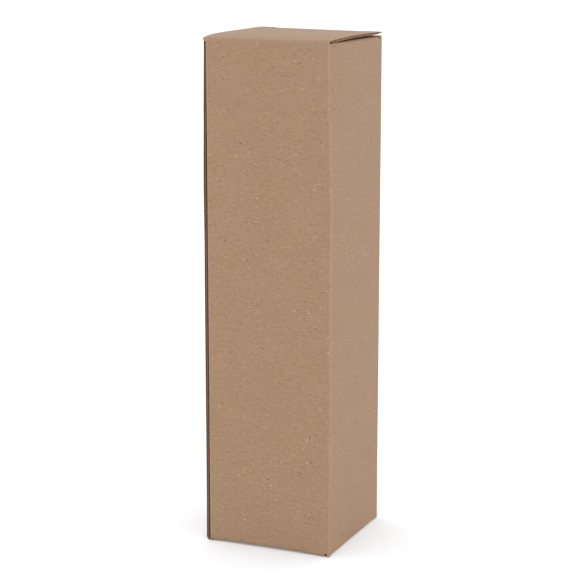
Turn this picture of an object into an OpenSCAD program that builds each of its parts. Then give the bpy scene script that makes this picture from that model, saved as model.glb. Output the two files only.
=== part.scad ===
/* [Box] */
// Width of the front panel, outside
box_w = 85; // [76:1:120]
// Depth of the side panels, outside
box_d = 85; // [76:1:120]
// Height of the side panels, from the floor to the folds of the dust flaps
box_h = 322; // [200:1:420]

/* [Board] */
// Thickness of the corrugated board
board_t = 1.6; // [1.2:0.1:2]
// Radius on the inside of a fold
fold_inner_r = 0.8; // [0.5:0.1:1.2]
// Relief cut between the end of a fold and its neighbour
relief = 0.5; // [0.3:0.1:1]
// Air left between two flaps that lie on each other
layer_gap = 0.15; // [0.1:0.05:0.4]

/* [Glued seam] */
// Width of the glue flap inside the left panel
glue_w = 28; // [18:1:34]
// Slanted cut at each end of the glue flap
glue_slant = 14; // [8:1:25]
// Step of the left panel's raw edge behind the front face, low down
seam_step_low = 0.5; // [0.2:0.1:1]
// The same step at the top of the seam
seam_step_top = 1.8; // [1:0.1:2.2]
// Height below the top over which that raw edge slants back
seam_slant_h = 150; // [60:10:180]

/* [Lid] */
// Height of the lid's front fold above the folds of the dust flaps
lid_lift = 1.5; // [1:0.1:2.4]
// Bow of the lid, above its front fold
lid_rise = 1.9; // [1:0.1:3]
// Length of the bow, from the front fold back to the flat part
lid_bow_run = 45; // [30:1:60]
// Air between the lid and the dust flaps that hold it up
lid_gap = 0.3; // [0.2:0.1:0.5]
// Opening left in the front fold where the lid turns
crease_slit = 0.1; // [0.05:0.05:0.2]

/* [Tuck flap] */
// Length of the tuck flap below its fold
tuck_len = 15.5; // [11:0.5:18]
// Lean of the tuck flap's lower edge away from the back panel
tuck_lean = 2.3; // [2:0.1:4]
// Radius of the tuck flap's two lower corners
tuck_corner_r = 9; // [3:1:10]
// Air between the tuck flap and the back panel
tuck_gap = 0.4; // [0.3:0.1:0.8]
// Air between the tuck flap and each side panel
tuck_side_gap = 0.6; // [0.4:0.1:1.5]
// Length of the slit at each end of the tuck flap's fold
slit_len = 11.5; // [8:0.5:16]

/* [Dust flaps] */
// Length of a dust flap, from the outside of its panel
dust_len = 34; // [24:1:36]
// Slope of a dust flap's front edge, fold to tip
dust_taper = 14; // [6:1:24]
// Length of the straight part of a dust flap's rear edge
dust_straight = 14; // [8:1:20]
// Slope of the rest of that rear edge
dust_rear_taper = 7; // [3:1:16]
// Radius of a dust flap's two tips
dust_corner_r = 5; // [2:1:8]
// Air between a dust flap and the tuck flap as it swings past
swing_gap = 0.4; // [0.3:0.1:1]

/* [Snap-lock bottom] */
// Distance over which a bottom flap climbs on to the flap below it
climb = 6.5; // [5:0.5:9]
// Length of a side bottom flap, from the outside of its panel
side_flap_len = 26; // [18:1:28]
// Straight inner end of a side bottom flap, from the front panel
side_flap_reach = 46; // [34:1:50]
// Length of the back bottom flap's arms, from the back panel
back_flap_len = 57; // [50:1:62]
// Length of the back bottom flap at its notch, from the back panel
back_notch_len = 27; // [22:1:32]
// Length of the front bottom flap's shoulders, from the front panel
front_flap_len = 42; // [34:1:46]
// Flat part of the front flap's tongue, on top of the back flap
tongue_len = 12; // [8:1:16]
// Width of the tongue
tongue_w = 30; // [20:1:32]
// Air between the tongue and the flaps on either side of it
tongue_gap = 1.2; // [0.6:0.2:2.4]
// Radius of the corners of the tongue and of the bottom flaps
bottom_corner_r = 4; // [2:1:6]

/* [Hidden] */
$fn = 48;

// Outside radius of a fold, and the room that one layer of board takes
fold_r = board_t + fold_inner_r;
layer = board_t + layer_gap;

// How far a fold reaches into the flat sheet on either side of it
stub = relief / 2;

// The front fold is shared at its middle by the box and the lid, which
// turns about the outside of the fold at that place
half_fold = 45;
lid_fold_z = box_h + lid_lift - fold_r;
hinge_d = fold_r * (1 - cos(half_fold));
hinge_z = lid_fold_z + fold_r * sin(half_fold);
slit_turn = crease_slit / fold_r * 180 / PI;

// Height of the lid's top face above its front fold, and of its underside
// above the folds of the dust flaps, at a distance d behind the front face
bow_steps = 9;
function bow_share(d) = min(1, max(0, (d - fold_r - relief) / lid_bow_run));
function lid_bow(d) = lid_rise * (1 - pow(1 - bow_share(d), 2));
function lid_under(d) = lid_lift + lid_bow(d) - board_t;
lid_rear_z = box_h + lid_lift + lid_rise;

// Fold of the tuck flap, and the raw-edged ears beside it
tuck_fold_d = box_d - board_t - tuck_gap - fold_r;
tuck_fold_z = lid_rear_z - fold_r;
tuck_w = box_w - 2 * board_t - 2 * tuck_side_gap;
tuck_fold_w = box_w - 2 * slit_len;
ear_len = box_d - tuck_fold_d;
shoulder_drop = max(relief, ear_len - (fold_inner_r + board_t / 2) * PI / 2);

// Path of the tuck flap's inner tip, which the dust flaps stay clear of
tip_d = tuck_fold_d + fold_inner_r - tuck_lean - hinge_d;
tip_z = tuck_fold_z - tuck_len - hinge_z;
tip_reach = sqrt(tip_d * tip_d + tip_z * tip_z);
flap_drop = hinge_z - box_h + fold_r;
dust_rear_d = hinge_d + sqrt(tip_reach * tip_reach - flap_drop * flap_drop) - swing_gap;

// Front end of a dust flap's fold, where the lid has risen clear of it
needed_share = min(1, max(0, (lid_gap + board_t - lid_lift) / lid_rise));
bow_back = lid_bow_run * (1 - sqrt(1 - needed_share));
dust_front_d = fold_r + relief + bow_back;
dust_spring = max(0, lid_under(dust_front_d + dust_taper) - lid_gap);

// Upper ends of the corners, under the lid's fold in front and open behind
corner_front_z = lid_fold_z - relief;
seam_low_z = fold_r + relief;
back_edge_z = lid_rear_z - board_t - 2 * relief;

// Height of a smooth climb at a share s of its run
climb_steps = 6;
function ease(s) = (1 - cos(180 * s)) / 2;

// Points of a round corner: centre, radius, first angle, last angle
corner_steps = 6;
function corner(c, r, from, to) = [
    for (i = [0:corner_steps])
        let (a = from + (to - from) * i / corner_steps)
        c + r * [cos(a), sin(a)]
];

// Outline of a strip of board, from the points of its lower face
function board_outline(low) = concat(
    low,
    [for (i = [len(low) - 1:-1:0]) low[i] + [0, board_t]]
);

// Lower face of a bottom flap: flat at the fold, then a climb to its level,
// which takes a longer run where it is higher
function climb_run(level) = climb * max(1, level / layer * 0.65);
function climb_line(start, level, end) = concat(
    [[fold_r, 0]],
    [
        for (i = [0:climb_steps])
            let (s = i / climb_steps)
            [start + s * climb_run(level), level * ease(s)]
    ],
    [[end, level]]
);

// A shape drawn in depth and height, drawn out along the width
module across(width) {
    rotate([90, 0, 90]) linear_extrude(width, center = true) children();
}

// A bend of the board about the z axis, with stubs that reach into the
// flat sheets before and after it
module bend(turn, width, before, after) {
    translate([0, 0, -width / 2]) {
        rotate_extrude(angle = turn)
            translate([fold_inner_r, 0]) square([board_t, width]);
        if (before)
            translate([fold_inner_r, -stub, 0]) cube([board_t, stub, width]);
        if (after)
            rotate([0, 0, turn])
                translate([fold_inner_r, 0, 0]) cube([board_t, stub, width]);
    }
}

// A fold whose axis runs along the width, from one angle through a turn
module fold(from, turn, width, before = true, after = true) {
    rotate([90, 0, 90]) rotate([0, 0, from]) bend(turn, width, before, after);
}

// An upright fold at a corner of the box
module corner_fold(from, low, high) {
    translate([0, 0, (low + high) / 2])
        rotate([0, 0, from]) bend(90, high - low, true, true);
}

// Places that face inwards from each panel, with y = 0 on its outside
module at_back() {
    translate([0, box_d, 0]) rotate([0, 0, 180]) children();
}
module at_right() {
    translate([box_w / 2, box_d / 2, 0]) rotate([0, 0, 90]) children();
}
module at_both_sides() {
    at_right() children();
    mirror([1, 0, 0]) at_right() children();
}

module front_panel() {
    left = -box_w / 2 + board_t + fold_r;
    right = box_w / 2 - fold_r;
    translate([left, 0, fold_r])
        cube([right - left, board_t, lid_fold_z - fold_r]);
}

module back_panel() {
    translate([fold_r - box_w / 2, box_d - board_t, fold_r])
        cube([box_w - 2 * fold_r, board_t, back_edge_z - fold_r]);
}

// Top edge of a side panel: low under the lid's fold, notched at both ends
// of the dust flap's fold, and full height at the back corner
side_top_edge = [
    [box_d - fold_r, box_h],
    [dust_rear_d + relief, box_h],
    [dust_rear_d + relief, box_h - fold_r],
    [dust_front_d - relief, box_h - fold_r],
    [dust_front_d - relief, corner_front_z]
];

module side_panel(front_edge) {
    translate([box_w / 2 - board_t / 2, 0, 0])
        across(board_t)
            polygon(concat([[box_d - fold_r, fold_r]], side_top_edge, front_edge));
}

module right_panel() {
    side_panel([[fold_r, corner_front_z], [fold_r, fold_r]]);
}

// The left panel ends in the raw edge that shows beside the front panel
module left_panel() {
    mirror([1, 0, 0])
        side_panel([
            [seam_step_top, corner_front_z],
            [seam_step_low, box_h - seam_slant_h],
            [seam_step_low, fold_r]
        ]);
}

module corner_folds() {
    translate([box_w / 2 - fold_r, fold_r, 0])
        corner_fold(270, relief, corner_front_z);
    translate([box_w / 2 - fold_r, box_d - fold_r, 0])
        corner_fold(0, relief, box_h);
    translate([fold_r - box_w / 2, box_d - fold_r, 0])
        corner_fold(90, relief, box_h);
    translate([fold_r + board_t - box_w / 2, fold_r, 0])
        corner_fold(180, seam_low_z, corner_front_z);
}

// Flap of the front panel that is glued to the inside of the left panel
module glue_flap() {
    translate([(3 * board_t - box_w) / 2, 0, 0])
        across(board_t)
            polygon([
                [fold_r, seam_low_z],
                [glue_w, seam_low_z + glue_slant],
                [glue_w, corner_front_z - glue_slant],
                [fold_r, corner_front_z]
            ]);
}

// The box's half of the lid's fold, over the whole width
module lid_fold_low() {
    translate([0, fold_r, lid_fold_z])
        fold(180 - half_fold, half_fold, box_w, before = false);
}

function dust_outline() =
    let (
        front = dust_front_d - box_d / 2,
        rear = dust_rear_d - box_d / 2,
        tip_front = front + dust_taper,
        tip_rear = rear - dust_rear_taper,
        r = dust_corner_r,
        slant = atan(dust_taper / (dust_len - fold_r))
    )
    concat(
        [[front, fold_r]],
        corner([tip_front + r, dust_len - r], r, 180 - slant, 90),
        corner([tip_rear - r, dust_len - r], r, 90, 10),
        [[rear, fold_r + dust_straight], [rear, fold_r]]
    );

// Lower face of a dust flap, which springs up a little towards its tip
spring_steps = 4;
dust_run = dust_len - fold_r - relief;
dust_line = concat(
    [[fold_r, fold_inner_r]],
    [
        for (i = [0:spring_steps])
            let (s = i / spring_steps)
            [fold_r + relief + s * dust_run, fold_inner_r + dust_spring * s * s]
    ]
);

module dust_flap() {
    width = dust_rear_d - dust_front_d;
    mid = (dust_front_d + dust_rear_d - box_d) / 2;
    translate([0, 0, box_h - fold_r]) {
        translate([mid, fold_r, 0]) fold(90, 90, width);
        intersection() {
            across(box_d) polygon(board_outline(dust_line));
            linear_extrude(fold_r + 2 * board_t) polygon(dust_outline());
        }
    }
}

// A bottom flap: its fold, and a climbing sheet cut to an outline
module bottom_flap(from, to, level, start, length, outline) {
    translate([(from + to) / 2, fold_r, fold_r]) fold(180, 90, to - from);
    intersection() {
        across(box_w + box_d) polygon(board_outline(climb_line(start, level, length)));
        linear_extrude(level + 2 * board_t) polygon(outline);
    }
}

// Side bottom flap: lies on the front flap, and is cut away at the back,
// where the back flap is still climbing
module side_bottom_flap(front) {
    from = front - box_d / 2;
    to = box_d / 2 - fold_r - relief;
    tip = fold_r + 2 * relief - box_d / 2;
    inner = side_flap_reach - box_d / 2;
    rear = to - climb_run(2 * layer) - relief;
    r = bottom_corner_r;
    bottom_flap(from, to, layer, fold_r + relief, side_flap_len, concat(
        [[from, fold_r], [tip, fold_r + board_t]],
        corner([tip + r, side_flap_len - r], r, 180, 90),
        corner([inner - r, side_flap_len - r], r, 90, 30),
        [[rear, fold_r + relief], [to, fold_r]]
    ));
}

// Back bottom flap: lies on the side flaps, with a notch for the tongue
module back_bottom_flap() {
    half = box_w / 2 - fold_r - relief;
    arm = half - relief;
    notch = tongue_w / 2 + tongue_gap;
    r = bottom_corner_r;
    bottom_flap(-half, half, 2 * layer, fold_r + relief, back_flap_len, concat(
        [[-half, fold_r], [-half, fold_r + relief]],
        corner([r - arm, back_flap_len - r], r, 180, 90),
        [[-notch, back_flap_len], [-notch, back_notch_len]],
        [[notch, back_notch_len], [notch, back_flap_len]],
        corner([arm - r, back_flap_len - r], r, 90, 0),
        [[half, fold_r + relief], [half, fold_r]]
    ));
}

// Front bottom flap: outermost, with shoulders and a tongue that climbs
// through the notch on to the back flap
module front_bottom_flap() {
    right = box_w / 2 - fold_r - relief;
    left = right - board_t;
    shoulder = box_w / 2 - fold_r - relief - climb - relief;
    tongue = tongue_w / 2;
    level = 3 * layer;
    notch_d = box_d - back_notch_len;
    start = notch_d - climb_run(level) - relief;
    end = notch_d + tongue_len;
    corner_d = min(front_flap_len, start);
    r = bottom_corner_r;
    translate([(right - left) / 2, fold_r, fold_r]) fold(180, 90, right + left);
    intersection() {
        across(box_w) polygon(board_outline(climb_line(start, level, end)));
        linear_extrude(level + 2 * board_t)
            polygon(concat(
                [[-left, fold_r], [-shoulder, fold_r + relief]],
                corner([r - shoulder, corner_d - r], r, 180, 90),
                [[-tongue, corner_d]],
                corner([r - tongue, end - r], r, 180, 90),
                corner([tongue - r, end - r], r, 90, 0),
                [[tongue, corner_d]],
                corner([shoulder - r, corner_d - r], r, 90, 0),
                [[shoulder, fold_r + relief], [right, fold_r]]
            ));
    }
}

// The box is one sheet: four panels, the glued seam and all their flaps
module carton() {
    color("peru")
        translate([0, -box_d / 2, 0]) {
            front_panel();
            right_panel();
            back_panel();
            left_panel();
            corner_folds();
            glue_flap();
            lid_fold_low();
            at_both_sides() dust_flap();
            front_bottom_flap();
            at_right() side_bottom_flap(fold_r + relief);
            mirror([1, 0, 0]) at_right() side_bottom_flap(seam_step_low);
            at_back() back_bottom_flap();
        }
}

// Lower face of the lid, which bows up behind its front fold
lid_line = concat(
    [[0, fold_inner_r]],
    [
        for (i = [0:bow_steps])
            let (run = relief + lid_bow_run * i / bow_steps)
            [run, fold_inner_r + lid_bow(fold_r + run)]
    ],
    [[tuck_fold_d - fold_r, fold_inner_r + lid_rise]]
);

module lid_panel() {
    translate([0, fold_r, lid_fold_z]) {
        fold(90, half_fold - slit_turn, box_w, after = false);
        across(box_w) polygon(board_outline(lid_line));
    }
}

// The lid's raw corners beside the slits, which reach over the back panel
module ears() {
    for (side = [-1, 1])
        translate([side * (box_w - slit_len) / 2, tuck_fold_d + ear_len / 2, lid_rear_z - board_t / 2])
            cube([slit_len, ear_len, board_t], center = true);
}

function tuck_outline() =
    let (
        half = tuck_w / 2,
        inner = tuck_fold_w / 2,
        r = tuck_corner_r
    )
    concat(
        [[-inner, 0], [-inner, -shoulder_drop], [-half, -shoulder_drop]],
        corner([r - half, r - tuck_len], r, 180, 270),
        corner([half - r, r - tuck_len], r, 270, 360),
        [[half, -shoulder_drop], [inner, -shoulder_drop], [inner, 0]]
    );

// The tuck flap hangs from its fold and leans away from the back panel
module tuck_flap() {
    translate([0, tuck_fold_d, tuck_fold_z]) {
        fold(0, 90, tuck_fold_w);
        intersection() {
            across(box_w)
                polygon([
                    [fold_inner_r, 0],
                    [fold_r, 0],
                    [fold_r, -relief],
                    [fold_r - tuck_lean, -tuck_len],
                    [fold_inner_r - tuck_lean, -tuck_len],
                    [fold_inner_r, -relief]
                ]);
            translate([0, fold_r, 0])
                rotate([90, 0, 0])
                    linear_extrude(fold_r + tuck_len) polygon(tuck_outline());
        }
    }
}

module lid() {
    color("burlywood")
        translate([0, -box_d / 2, 0]) {
            lid_panel();
            ears();
            tuck_flap();
        }
}

carton();
lid();
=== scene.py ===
# Looks of a tall, plain kraft carton for one bottle, made of E-flute board.
# The box is drawn as one sheet of board, folded in place from its flat blank.
import math

import bpy
import numpy as np
from mathutils import Matrix, Vector


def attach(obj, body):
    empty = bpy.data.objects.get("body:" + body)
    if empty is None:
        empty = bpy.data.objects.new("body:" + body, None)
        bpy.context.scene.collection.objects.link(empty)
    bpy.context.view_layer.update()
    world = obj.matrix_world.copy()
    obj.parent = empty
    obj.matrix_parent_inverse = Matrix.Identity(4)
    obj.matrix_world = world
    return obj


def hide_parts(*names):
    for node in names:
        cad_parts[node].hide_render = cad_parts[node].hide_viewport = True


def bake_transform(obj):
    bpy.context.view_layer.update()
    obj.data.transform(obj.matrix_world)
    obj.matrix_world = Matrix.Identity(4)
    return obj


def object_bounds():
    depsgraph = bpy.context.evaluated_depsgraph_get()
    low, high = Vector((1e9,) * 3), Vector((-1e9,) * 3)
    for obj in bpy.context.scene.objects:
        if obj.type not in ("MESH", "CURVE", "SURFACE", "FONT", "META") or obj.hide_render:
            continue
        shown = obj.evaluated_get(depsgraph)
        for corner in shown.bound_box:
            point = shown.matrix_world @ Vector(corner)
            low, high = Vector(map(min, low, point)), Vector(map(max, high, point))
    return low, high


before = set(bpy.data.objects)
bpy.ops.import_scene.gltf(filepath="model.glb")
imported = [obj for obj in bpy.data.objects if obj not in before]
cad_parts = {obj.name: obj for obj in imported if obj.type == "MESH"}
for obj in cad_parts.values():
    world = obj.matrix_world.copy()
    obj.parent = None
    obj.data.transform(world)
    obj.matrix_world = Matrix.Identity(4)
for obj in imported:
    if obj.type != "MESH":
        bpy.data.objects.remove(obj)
cad_low, cad_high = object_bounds()

# The box, in metres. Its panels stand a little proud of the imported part.
MM = 0.001
MM_PER_METRE = 1000
PROUD = 0.4 * MM
LEFT, RIGHT = cad_low.x - PROUD, cad_high.x + PROUD
FRONT, BACK = cad_low.y - PROUD, cad_high.y + PROUD
WIDTH, DEPTH = RIGHT - LEFT, BACK - FRONT
LID_RISE = 3.4 * MM
PANEL_TOP = cad_high.z - LID_RISE

# The board, its two liners and the wavy paper between them
BOARD = 1.6 * MM
LINER = 0.24 * MM
MEDIUM = 0.2 * MM
PITCH = 3.4 * MM

# How far in a raw edge is open
FLUTE_DEPTH = 2.4 * MM
LID_FLUTE_DEPTH = 0.5 * MM
GROOVE_DEPTH = 0.35 * MM

# Folds, the gap cut beside them, and the rise from one bottom flap to the next
FOLD = 2.4 * MM
RELIEF = 0.5 * MM
CLEAR = FOLD + RELIEF
LAYER = 1.75 * MM

# The sheet's grid, and a distance that counts as none
SPACING = 4 * MM
FOLD_STEPS = 8
TINY = 1e-6

# The two pieces
CARTON, LID = 0, 1

# Dust flaps: the front side slants, the rear side tapers and the tip springs up
DUST_FRONT = 7.4 * MM
DUST_REAR = 80.1 * MM
DUST_LEN = 34 * MM
DUST_TIP = 5 * MM
DUST_TIP_SHARES = np.array([1, 0.75, 0.5, 0.25, 0.1, 0.03])
DUST_SLANT = 14 * MM
DUST_TAPER = 7 * MM
DUST_SHOULDER = 16.4 * MM
DUST_SPRING = {"right": 0.45 * MM, "left": 0.8 * MM}

# The glued flap
GLUE_LEN = 28 * MM
GLUE_SLANT = 14 * MM

# The lid's rear flap, and the ears beside its slits
EAR = 11.5 * MM
EAR_ROWS = 2
TUCK_GAP = 0.4 * MM
TUCK_FOLD = DEPTH - BOARD - TUCK_GAP - FOLD
EAR_REACH = DEPTH - TUCK_FOLD
TUCK_LEN = 15.5 * MM
TUCK_LEAN = 2.3 * MM
TUCK_TIP = 9 * MM
TUCK_STEP = 2.5 * MM
TUCK_SIDE_GAP = 0.6 * MM
TUCK_HALF = WIDTH / 2 - BOARD - TUCK_SIDE_GAP
TUCK_SHOULDER = 1.9 * MM

# Flaps at the bottom, which climb onto each other
CLIMB = 6.5 * MM
CLIMB_PER_LAYER = 0.65
CLIMB_STEPS = 8
SIDE_FLAP = 26 * MM
SIDE_REACH = 46 * MM
SIDE_CORNER = math.radians(30)
BACK_FLAP = 57 * MM
BACK_NOTCH = 27 * MM
FRONT_FLAP = 42 * MM
TONGUE_HALF = 15 * MM
TONGUE_LAP = 12 * MM
TONGUE_END = DEPTH - BACK_NOTCH + TONGUE_LAP
NOTCH_GAP = 1.2 * MM
NOTCH_HALF = TONGUE_HALF + NOTCH_GAP
TIP = 4 * MM
TIP_SHARES = (1, 0.7, 0.4, 0.2, 0.07)
SHOULDER = CLEAR + RELIEF + CLIMB


def stations(low, high, marks=(), step=SPACING):
    """Places from low to high about one step apart, with every mark among them."""
    fixed = sorted({low, high, *(m for m in marks if low < m < high)})
    places = [fixed[0]]
    for a, b in zip(fixed, fixed[1:]):
        count = max(1, round((b - a) / step))
        places += [a + (b - a) * k / count for k in range(1, count + 1)]
    return np.array(places)


def ease(s):
    """Smooth climb from 0 to 1."""
    return (1 - np.cos(math.pi * np.clip(s, 0, 1))) / 2


def fade(distance, reach):
    """1 at no distance, and smoothly down to 0 at reach."""
    return ease(1 - distance / reach)


def eased_run(at, places, values):
    """Smooth run through a few chosen values."""
    places, values = np.array(places), np.array(values)
    k = np.clip(np.searchsorted(places, at) - 1, 0, len(places) - 2)
    s = (np.clip(at, places[0], places[-1]) - places[k]) / (places[k + 1] - places[k])
    return values[k] + (values[k + 1] - values[k]) * ease(s)


def stack(*parts):
    return np.stack(np.broadcast_arrays(*parts), -1)


class Sheet:
    """A sheet of corrugated board, kept as its outside surface."""

    def __init__(self):
        self.points, self.blank, self.thickness = [], [], []
        self.quads, self.pieces = [], []

    def grid(self, points, blank, piece, cells=None, known=(), flip=False, thickness=None):
        """Adds a grid of points and returns their numbers. Cells that are left
        out make holes, and known rows or columns join it to what is there."""
        rows, columns = points.shape[:2]
        if cells is None:
            cells = np.ones((rows - 1, columns - 1), bool)
        used = np.zeros((rows, columns), bool)
        for i, j in ((0, 0), (0, 1), (1, 0), (1, 1)):
            used[i : rows - 1 + i, j : columns - 1 + j] |= cells
        numbers = np.full((rows, columns), -1)
        for where, there in known:
            numbers[where] = there
        for i, j in zip(*np.nonzero(used & (numbers < 0))):
            numbers[i, j] = len(self.points)
            self.points.append(points[i, j])
            self.blank.append(blank[i, j])
            self.thickness.append(BOARD if thickness is None else thickness[i, j])
        for i, j in zip(*np.nonzero(cells)):
            quad = [numbers[i, j], numbers[i, j + 1], numbers[i + 1, j + 1], numbers[i + 1, j]]
            self.quads.append(quad[::-1] if flip else quad)
            self.pieces.append(piece)
        return numbers


# The tube: four panels in a row, and the fold of the glued flap before them.
# u runs round the outside of the tube from the front's left edge.
SEAM_GAP = 0.2 * MM
CREASE_U = [BOARD + SEAM_GAP, WIDTH, WIDTH + DEPTH, 2 * WIDTH + DEPTH]
TUBE_END = 2 * WIDTH + 2 * DEPTH
RUNS = np.array([(0, -1), (1, 0), (0, 1), (-1, 0), (0, -1)])
CORNERS = np.array([(LEFT, FRONT), (RIGHT, FRONT), (RIGHT, BACK), (LEFT, BACK)])
CREASE_XY = CORNERS.copy()
CREASE_XY[0, 0] = LEFT + BOARD + SEAM_GAP
PANELS = ("front", "right", "back", "left")
PANEL_U = dict(zip(PANELS, [0, *CREASE_U[1:]]))
PANEL_XY = dict(zip(PANELS, CORNERS))
PANEL_RUN = dict(zip(PANELS, RUNS[1:]))

# Radius of each upright crease, in millimetres, at a few heights
CREASE_HEIGHTS = np.array([0, 11, 36, 99, 161, 224, 262, 300, 319]) * MM
CREASE_RADII = [
    [2.3, 2.3, 2.2, 2.4, 2.3, 2.3, 2.4, 2.3, 2.2],
    [1.6, 1.6, 1.3, 1.1, 1.2, 0.9, 1.4, 1.5, 1.0],
    [1.5, 1.4, 1.6, 1.4, 1.6, 1.5, 1.4, 1.5, 1.5],
    [2.2, 2.3, 2.1, 2.3, 2.2, 2.4, 2.2, 2.1, 2.2],
]

# The left panel's raw edge stands behind the front face, and more so higher up
FREE_END = 0.5 * MM
SEAM_LOOSE = 5 * MM
SEAM_GROWTH = 1.3 * MM
GROWTH_LOW, GROWTH_HEIGHT = 150 * MM, 148 * MM


def crease_radius(crease, z):
    return eased_run(z, CREASE_HEIGHTS, CREASE_RADII[crease]) * MM


def seam_step(z):
    """How far the left panel's raw edge stands behind the front face."""
    share = np.clip((z - PANEL_TOP + GROWTH_LOW) / GROWTH_HEIGHT, 0, 1)
    return FREE_END + SEAM_GROWTH * share


def tube_xy(u, z):
    """Places on the outside of the tube."""
    u, z = np.broadcast_arrays(u, z)
    side = np.searchsorted(CREASE_U, u)
    anchor = np.maximum(side - 1, 0)
    xy = CREASE_XY[anchor] + RUNS[side] * (u - np.array(CREASE_U)[anchor])[..., None]
    for k in range(4):
        r = crease_radius(k, z)
        s = (u - CREASE_U[k] + r) / (2 * r)
        before = CREASE_XY[k] - r[..., None] * RUNS[k]
        after = CREASE_XY[k] + r[..., None] * RUNS[k + 1]
        # a quarter circle, as a rational curve with the corner as its middle point
        a, b, c = (w[..., None] for w in ((1 - s) ** 2, math.sqrt(2) * s * (1 - s), s**2))
        bend = (a * before + b * CREASE_XY[k] + c * after) / (a + b + c)
        xy = np.where(((s > 0) & (s < 1))[..., None], bend, xy)
    return xy


def climb_run(level):
    """Length over which a bottom flap climbs to a level."""
    return CLIMB * max(1, level / LAYER * CLIMB_PER_LAYER)


def tube_columns():
    """Columns of the tube: a place on the blank, and for a crease its number
    and how far across it the column lies, from -1 to 1."""
    columns = []

    def crease(k):
        columns.extend((CREASE_U[k], s, k) for s in np.linspace(-1, 1, FOLD_STEPS + 1))

    def flat(start, marks, low, high):
        columns.extend((start + s, 0, 0) for s in stations(low, high, marks))

    dust = [DUST_FRONT - RELIEF, DUST_FRONT, DUST_REAR, DUST_REAR + RELIEF]
    rear = DEPTH - CLEAR - climb_run(2 * LAYER) - RELIEF
    halves = [WIDTH / 2 - TONGUE_HALF, WIDTH / 2 + TONGUE_HALF]
    notch = [WIDTH / 2 - NOTCH_HALF, WIDTH / 2 + NOTCH_HALF]
    crease(0)
    flat(0, [SHOULDER, EAR, *halves, WIDTH - EAR, WIDTH - SHOULDER], BOARD + CLEAR, WIDTH - CLEAR)
    crease(1)
    flat(WIDTH, [*dust, rear], CLEAR, DEPTH - CLEAR)
    crease(2)
    flat(PANEL_U["back"], notch, CLEAR, WIDTH - CLEAR)
    crease(3)
    marks = [*(DEPTH - m for m in dust), DEPTH - rear, DEPTH - SEAM_LOOSE]
    flat(PANEL_U["left"], marks, CLEAR, DEPTH - FREE_END)
    return np.array(columns)


COLUMNS = tube_columns()


def tube_grid(z_rows, columns=slice(None)):
    """Points of the tube and their places on the blank, for rows of heights."""
    base, share, crease = COLUMNS[columns].T
    z = np.array(z_rows)[:, None]
    radii = np.stack([crease_radius(k, z[:, 0]) for k in range(4)])
    u = base[None] + share[None] * radii[crease.astype(int)].T
    loose = TUBE_END - SEAM_LOOSE
    drawn_in = (SEAM_LOOSE - seam_step(z)) / (SEAM_LOOSE - FREE_END)
    u = np.where(base > loose, loose + (base - loose) * drawn_in, u)
    xy = tube_xy(u, z)
    z = np.broadcast_to(z, u.shape)
    return stack(xy[..., 0], xy[..., 1], z), stack(u, z)


def near_columns(low, high):
    """Numbers of the flat columns from one place on the blank to another."""
    base, share = COLUMNS[:, 0], COLUMNS[:, 1]
    between = (share == 0) & (base > low - TINY) & (base < high + TINY)
    return np.nonzero(between & ~np.isin(base, CREASE_U))[0]


# The middle column of the crease between the front and right panels
RIGHT_CREASE = FOLD_STEPS + 1 + len(near_columns(0, WIDTH)) + FOLD_STEPS // 2

# The lid: its front crease is rounder on the right, and it bows and leans.
# Its board begins at SPLIT, below that crease, and ends on the left in a free wing.
SPLIT = 312 * MM
WING = LEFT + np.array([0.6, 1.3, 2.1, 2.8]) * MM
LID_STEPS = 14
UPRIGHT_STEP = 1.5 * MM
SLOPE_STEP = 0.1 * MM
FLAT_SHARE = 0.05

# Radius of the lid's crease, in millimetres, at shares of the way across
LID_SHARES = [0, 0.35, 0.6, 0.8, 1]
LID_RADII = [2.0, 2.3, 2.6, 4.2, 5.4]

# The lid's left and right side, in millimetres: height at the very front, climb
# behind the crease and its length, change towards the rear and that one's power
LID_SIDES = ((1.5, 1.75, 8, 0.65, 1), (0.85, 2.7, 20, -1, 2))


def across_share(x):
    return np.clip((x - LEFT) / WIDTH, 0, 1)


def lid_height(x, d):
    """Height of the lid's top above the dust flaps' creases, d behind the front."""
    left, right = (
        low + climb * (1 - np.exp(-d / (length * MM))) + change * (d / DEPTH) ** power
        for low, climb, length, change, power in LID_SIDES
    )
    return (left + (right - left) * across_share(x)) * MM


def lid_crease(x):
    """The front crease at x: its radius and turn, the depth at which its round
    part ends, and the height at which that begins."""
    radius = eased_run(across_share(x), LID_SHARES, LID_RADII) * MM
    end = radius
    for _ in range(3):
        rise = lid_height(x, end + SLOPE_STEP) - lid_height(x, end - SLOPE_STEP)
        slope = np.arctan(rise / (2 * SLOPE_STEP))
        end = radius * (1 - np.sin(slope))
    turn = math.pi / 2 - slope
    low = PANEL_TOP + lid_height(x, end) - radius * np.sin(turn)
    return radius, turn, end, low


CREASE_LOW = float(np.min(lid_crease(np.linspace(LEFT, RIGHT, 40))[3]))
UPRIGHT = stations(SPLIT, CREASE_LOW, step=UPRIGHT_STEP)


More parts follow.
